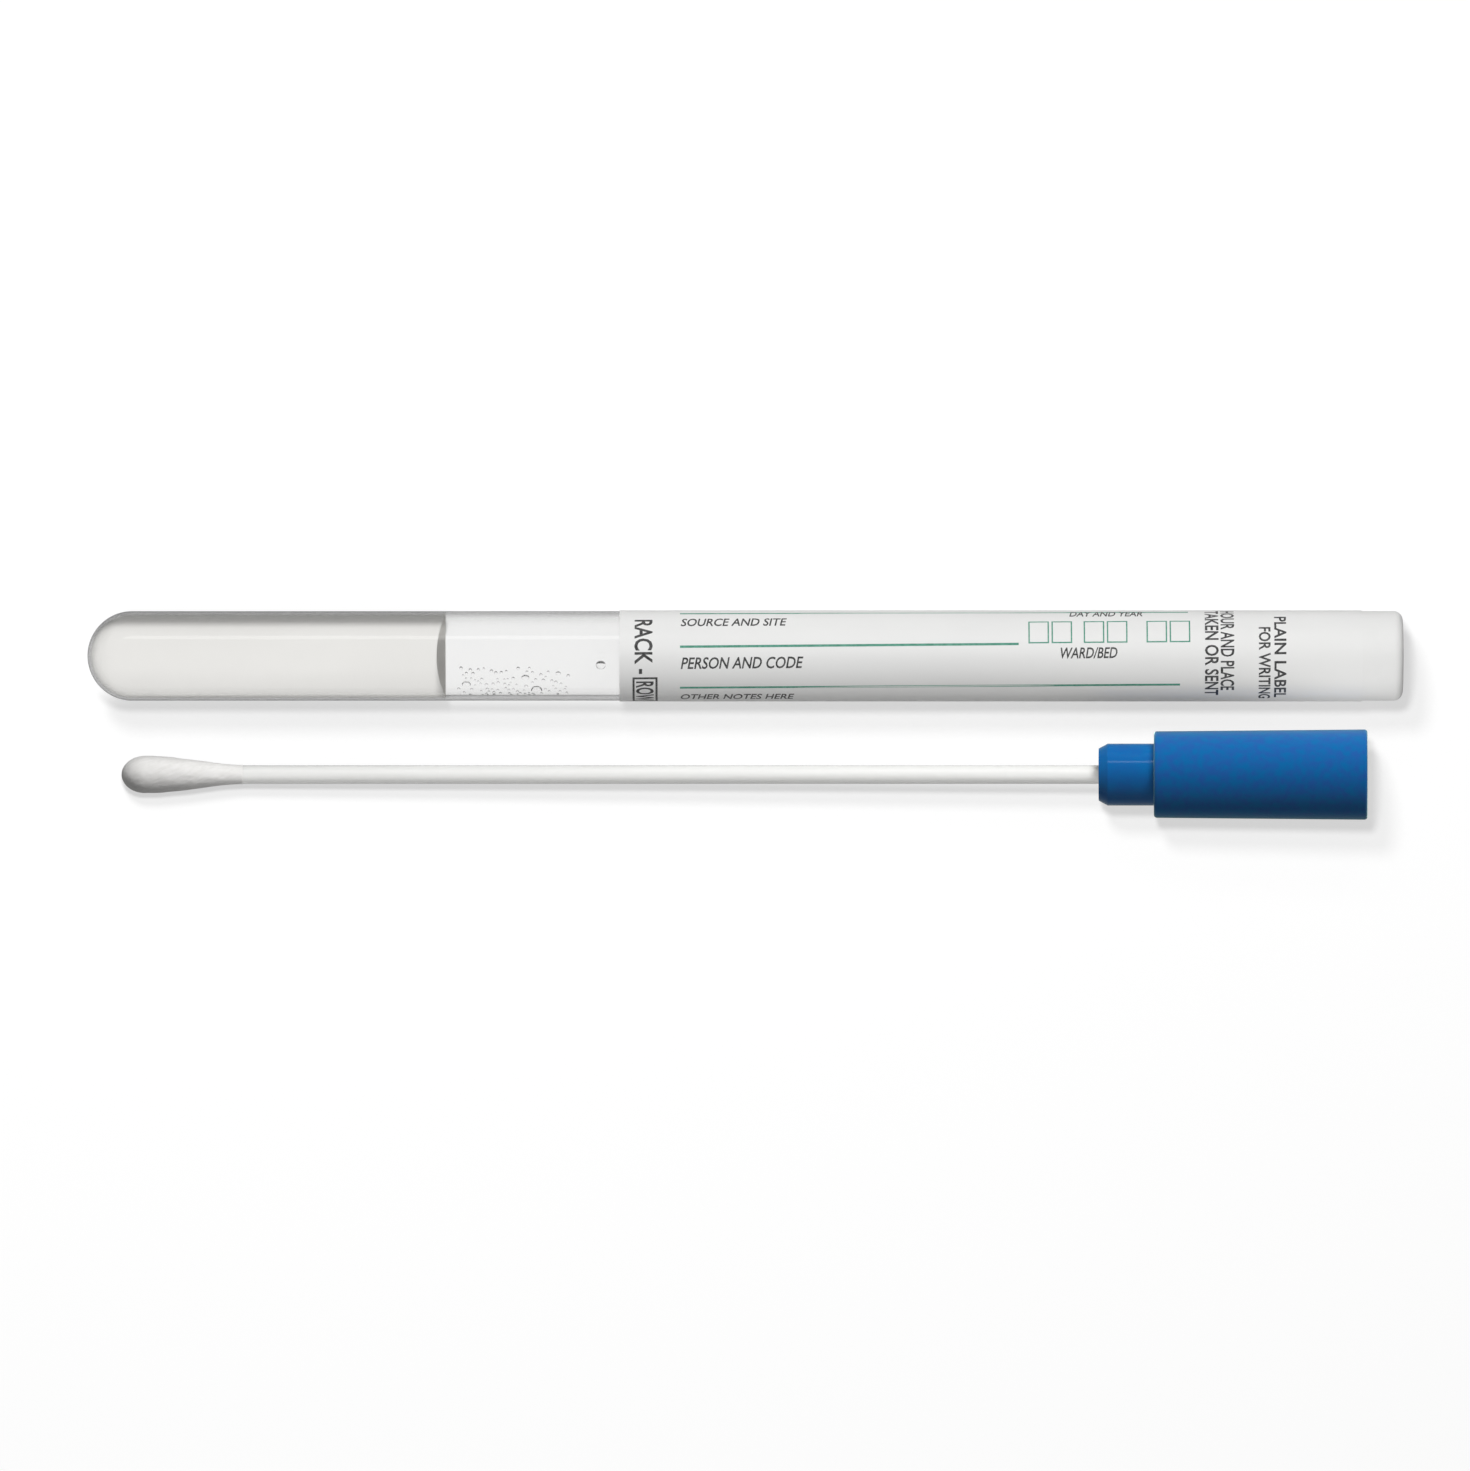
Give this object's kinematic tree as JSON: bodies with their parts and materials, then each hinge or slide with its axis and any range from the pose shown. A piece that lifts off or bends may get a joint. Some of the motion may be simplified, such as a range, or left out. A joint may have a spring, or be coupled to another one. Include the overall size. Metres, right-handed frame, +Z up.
{
  "type": "specimen swab tube",
  "caption": "Clear round-bottomed tube with transport gel and a stopper sealed by a wrap-round label, beside a cotton swab on a push-in cap.",
  "frame": {"origin": "centre of the set's base, on the surface it lies on", "axes": "+X along the tube from its round end to its stopper, +Y from the swab to the tube, +Z up"},
  "size_m": [0.1762, 0.028, 0.0125],
  "materials": {
    "clear_plastic": "clear",
    "gel": "wet",
    "stopper_plastic": "satin",
    "label_film": "satin",
    "stick_plastic": "gloss",
    "cotton": "fibrous",
    "cap_plastic": "satin"
  },
  "bodies": {
    "root": {"tube": "clear_plastic", "transport_gel": "gel", "tube_stopper": "stopper_plastic", "label": "label_film", "swab_shaft": "stick_plastic", "swab_bud": "cotton", "swab_cap": "cap_plastic"}
  },
  "joints": []
}
